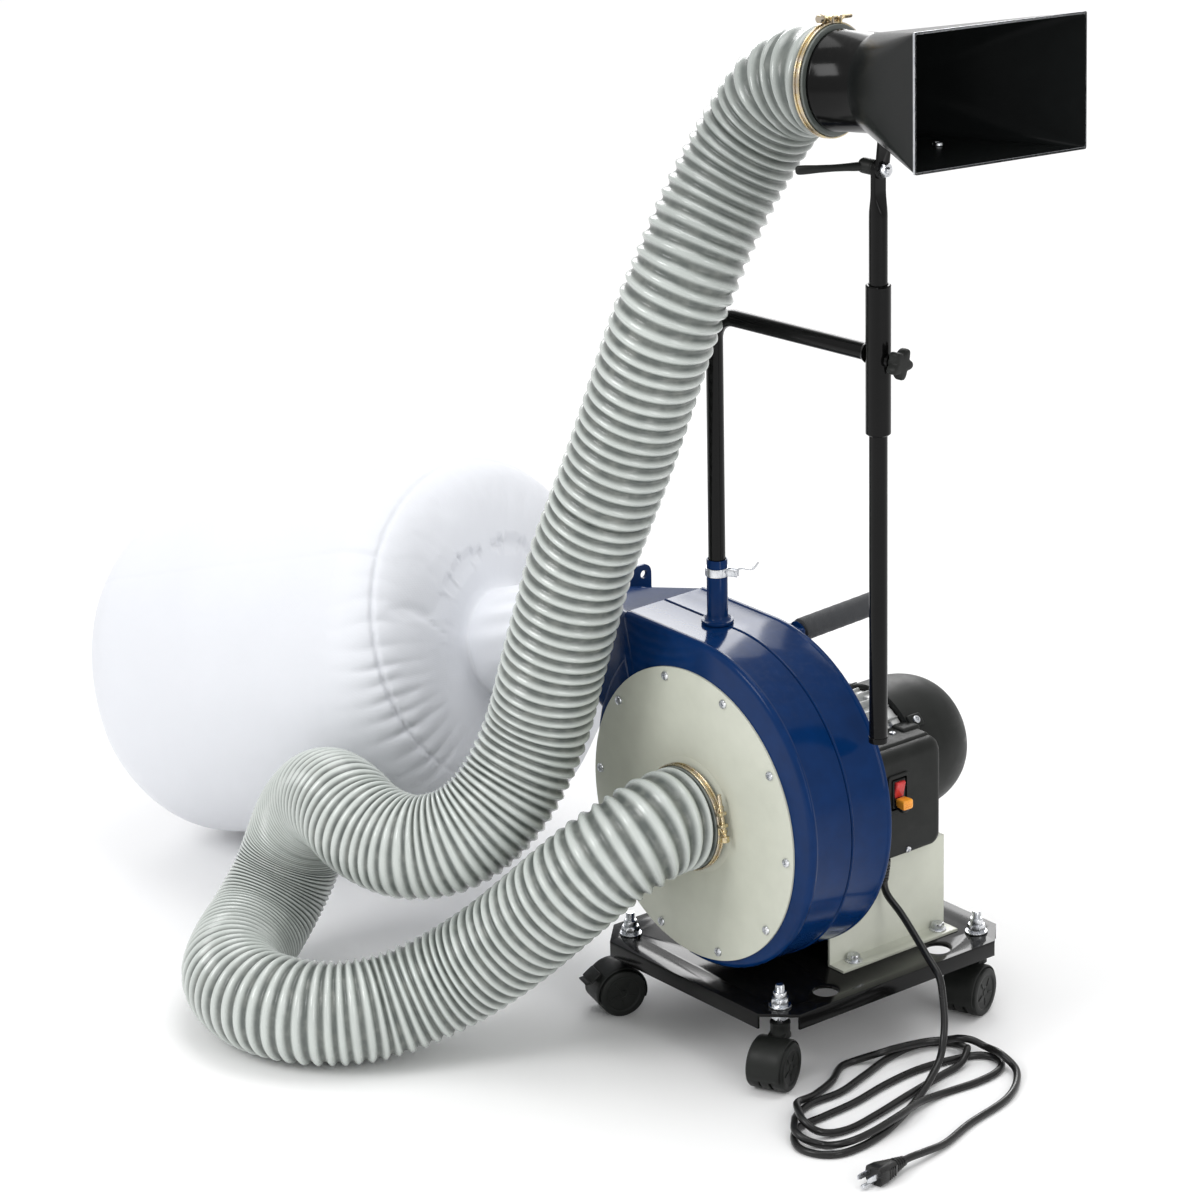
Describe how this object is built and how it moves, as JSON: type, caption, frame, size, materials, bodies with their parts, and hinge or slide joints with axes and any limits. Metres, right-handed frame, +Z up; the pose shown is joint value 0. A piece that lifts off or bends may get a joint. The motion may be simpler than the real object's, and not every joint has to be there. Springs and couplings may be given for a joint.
{
  "type": "portable dust collector",
  "caption": "Portable dust collector: a scroll blower and motor on a caster base, with a filter bag and a ribbed hose up to a flared hood on an adjustable boom",
  "frame": {"origin": "On the floor under the middle of the base plate, between the four casters", "axes": "+Z is up, -Y points from the housing to the inlet side, +Y points to the motor, -X points to the bag"},
  "size_m": [1.3114, 0.756, 1.1832],
  "materials": {
    "navy_enamel": "gloss navy enamel",
    "cream_enamel": "gloss cream-grey enamel",
    "black_enamel": "gloss black enamel",
    "black_plastic": "satin black plastic",
    "zinc": "bright zinc plate",
    "yellow_zinc": "yellow zinc plate",
    "aluminium": "as cast aluminium",
    "foam": "dark grey foam",
    "hose_plastic": "pale grey-green flexible plastic",
    "bag_cloth": "white woven filter cloth",
    "cord_rubber": "black rubber",
    "red_plastic": "red plastic",
    "orange_plastic": "orange plastic"
  },
  "bodies": {
    "blower": {"base_plate": "black_enamel", "caster_studs": "zinc", "motor_stand": "cream_enamel", "housing_front_half": "navy_enamel", "housing_rear_half": "navy_enamel", "cover_plate": "cream_enamel", "inlet_collar": "cream_enamel", "inlet_clamp": "yellow_zinc", "outlet_duct": "navy_enamel", "bag_strap": "zinc", "dust_bag": "bag_cloth", "motor_flange": "black_enamel", "motor_body": "aluminium", "motor_fan_cover": "black_plastic", "switch_box": "black_plastic", "handle_bar": "navy_enamel", "handle_grip": "foam", "boom_socket": "navy_enamel", "socket_clamp": "zinc", "hose_lower": "hose_plastic", "power_cord": "cord_rubber", "strain_relief": "cord_rubber", "plug": "cord_rubber"},
    "boom": {"boom_tube": "black_enamel", "boom_sleeve": "black_enamel", "sleeve_knob": "black_plastic", "hose_middle": "hose_plastic"},
    "post": {"hood_post": "black_enamel", "pivot_bolt": "zinc", "ratchet_lever": "black_plastic", "hose_upper": "hose_plastic"},
    "hood": {"hood_bracket": "black_enamel", "hood_flare": "black_enamel", "hood_collar": "black_enamel", "hood_clamp": "yellow_zinc"},
    "switch": {"switch_rocker": "red_plastic", "safety_key": "orange_plastic"},
    "caster_1": {"caster_body_1": "black_plastic"},
    "wheels_1": {"caster_wheels_1": "black_plastic"},
    "caster_2": {"caster_body_2": "black_plastic"},
    "wheels_2": {"caster_wheels_2": "black_plastic"},
    "caster_3": {"caster_body_3": "black_plastic"},
    "wheels_3": {"caster_wheels_3": "black_plastic"},
    "caster_4": {"caster_body_4": "black_plastic"},
    "wheels_4": {"caster_wheels_4": "black_plastic"}
  },
  "joints": [
    {"name": "boom_swing", "type": "hinge", "parent": "blower", "child": "boom", "pos_m": [-0.023, -0.0965, 0.5], "axis": [0, 0, 1], "range_deg": [-45, 45], "deforming": ["hose_middle"]},
    {"name": "post_slide", "type": "slide", "parent": "boom", "child": "post", "axis": [0, 0, 1], "range_m": [-0.02, 0.2], "deforming": ["hose_upper"]},
    {"name": "hood_tilt", "type": "hinge", "parent": "post", "child": "hood", "pos_m": [0.18807, -0.06118, 0.997], "axis": [0.9863, 0.165, 0], "range_deg": [-30, 30]},
    {"name": "switch_press", "type": "hinge", "parent": "blower", "child": "switch", "pos_m": [0.095, 0.046, 0.268], "axis": [0, 1, 0], "range_deg": [-6, 6]},
    {"name": "caster_swivel_1", "type": "hinge", "parent": "blower", "child": "caster_1", "pos_m": [0.122, -0.14, 0.06], "axis": [0, 0, 1], "continuous": true},
    {"name": "wheel_spin_1", "type": "hinge", "parent": "caster_1", "child": "wheels_1", "pos_m": [0.12961, -0.15631, 0.0265], "axis": [0.9063, 0.4226, 0], "continuous": true},
    {"name": "caster_swivel_2", "type": "hinge", "parent": "blower", "child": "caster_2", "pos_m": [0.122, 0.14, 0.06], "axis": [0, 0, 1], "continuous": true},
    {"name": "wheel_spin_2", "type": "hinge", "parent": "caster_2", "child": "wheels_2", "pos_m": [0.12816, 0.12309, 0.0265], "axis": [0.9397, 0.342, 0], "continuous": true},
    {"name": "caster_swivel_3", "type": "hinge", "parent": "blower", "child": "caster_3", "pos_m": [-0.122, -0.14, 0.06], "axis": [0, 0, 1], "continuous": true},
    {"name": "wheel_spin_3", "type": "hinge", "parent": "caster_3", "child": "wheels_3", "pos_m": [-0.12726, -0.15721, 0.0265], "axis": [0.9563, -0.2924, 0], "continuous": true},
    {"name": "caster_swivel_4", "type": "hinge", "parent": "blower", "child": "caster_4", "pos_m": [-0.122, 0.14, 0.06], "axis": [0, 0, 1], "continuous": true},
    {"name": "wheel_spin_4", "type": "hinge", "parent": "caster_4", "child": "wheels_4", "pos_m": [-0.11887, 0.12227, 0.0265], "axis": [0.9848, 0.1736, 0], "continuous": true}
  ]
}
